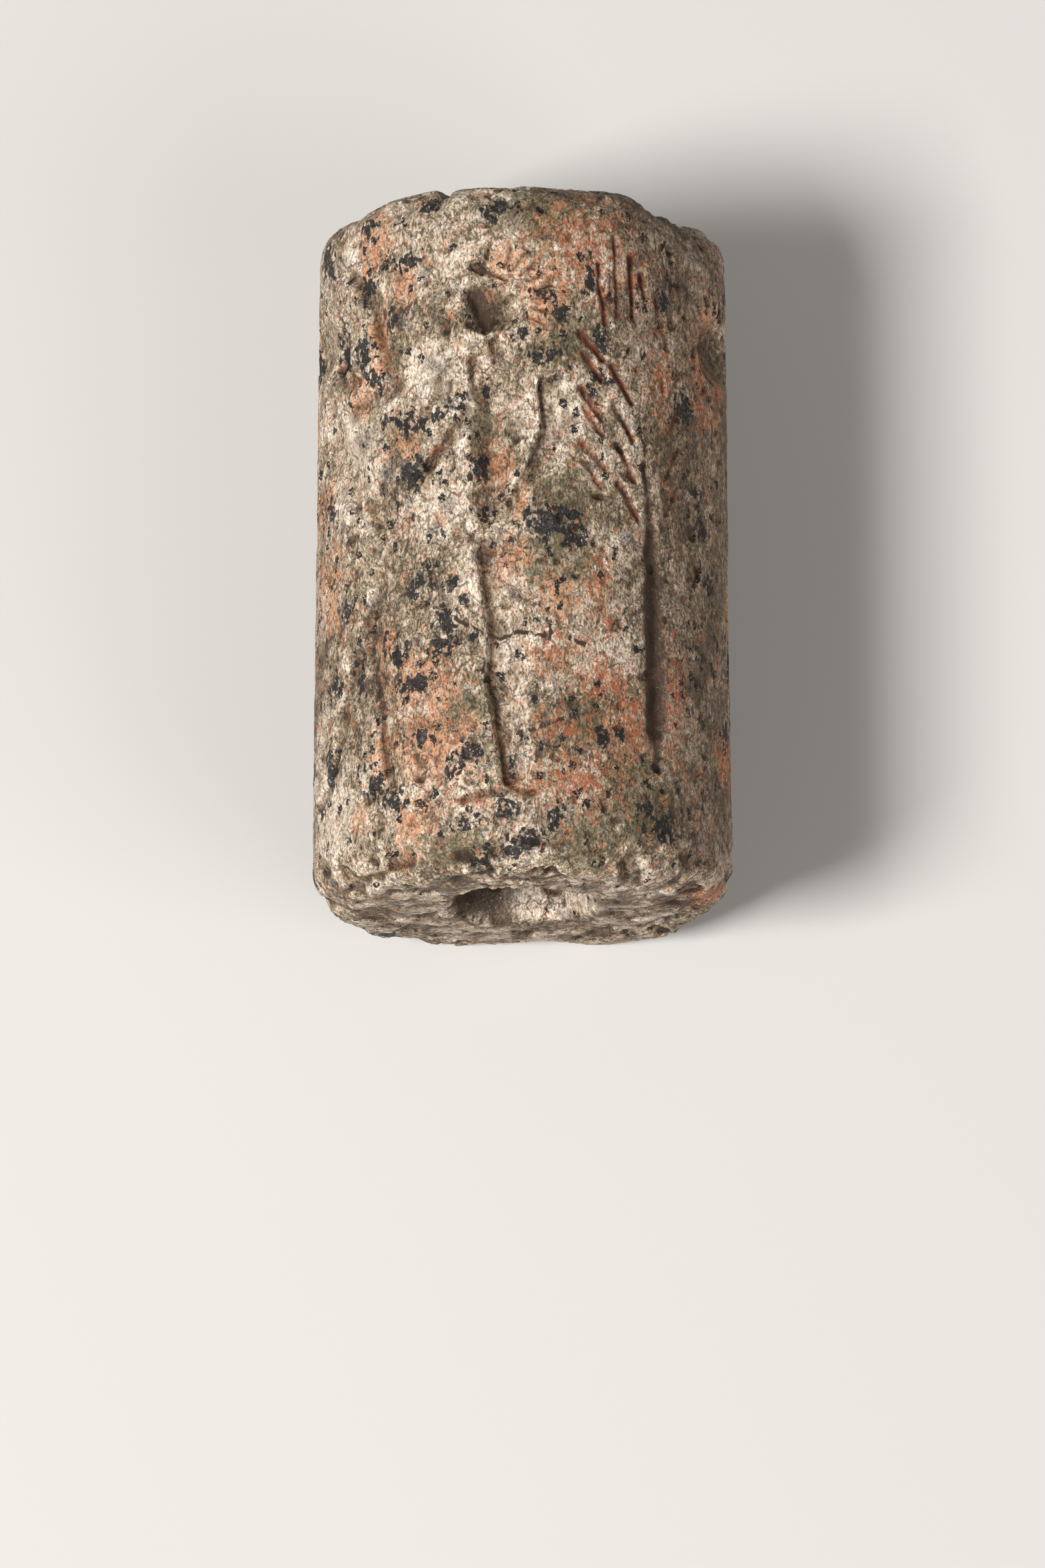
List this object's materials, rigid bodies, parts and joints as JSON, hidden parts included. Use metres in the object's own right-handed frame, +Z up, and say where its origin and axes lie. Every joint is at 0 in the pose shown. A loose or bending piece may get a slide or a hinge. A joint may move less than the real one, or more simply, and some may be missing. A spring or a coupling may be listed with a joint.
{
  "type": "cylinder seal",
  "caption": "Short stone cylinder with a lengthwise cord bore, worn round edges and figures and ears of grain cut into its side, for rolling over clay.",
  "frame": {"origin": "on the surface that the seal lies on, under the middle of its length", "axes": "+Y along the bore, from the feet of the scene to its heads; +Z up, away from the flat spot"},
  "size_m": [0.0208, 0.035, 0.0203],
  "materials": {
    "speckled_stone": "worn, granular, tan and grey-brown with black crystals, salmon and olive patches and red residue in the cuts"
  },
  "bodies": {
    "root": {"seal_stone": "speckled_stone"}
  },
  "joints": []
}
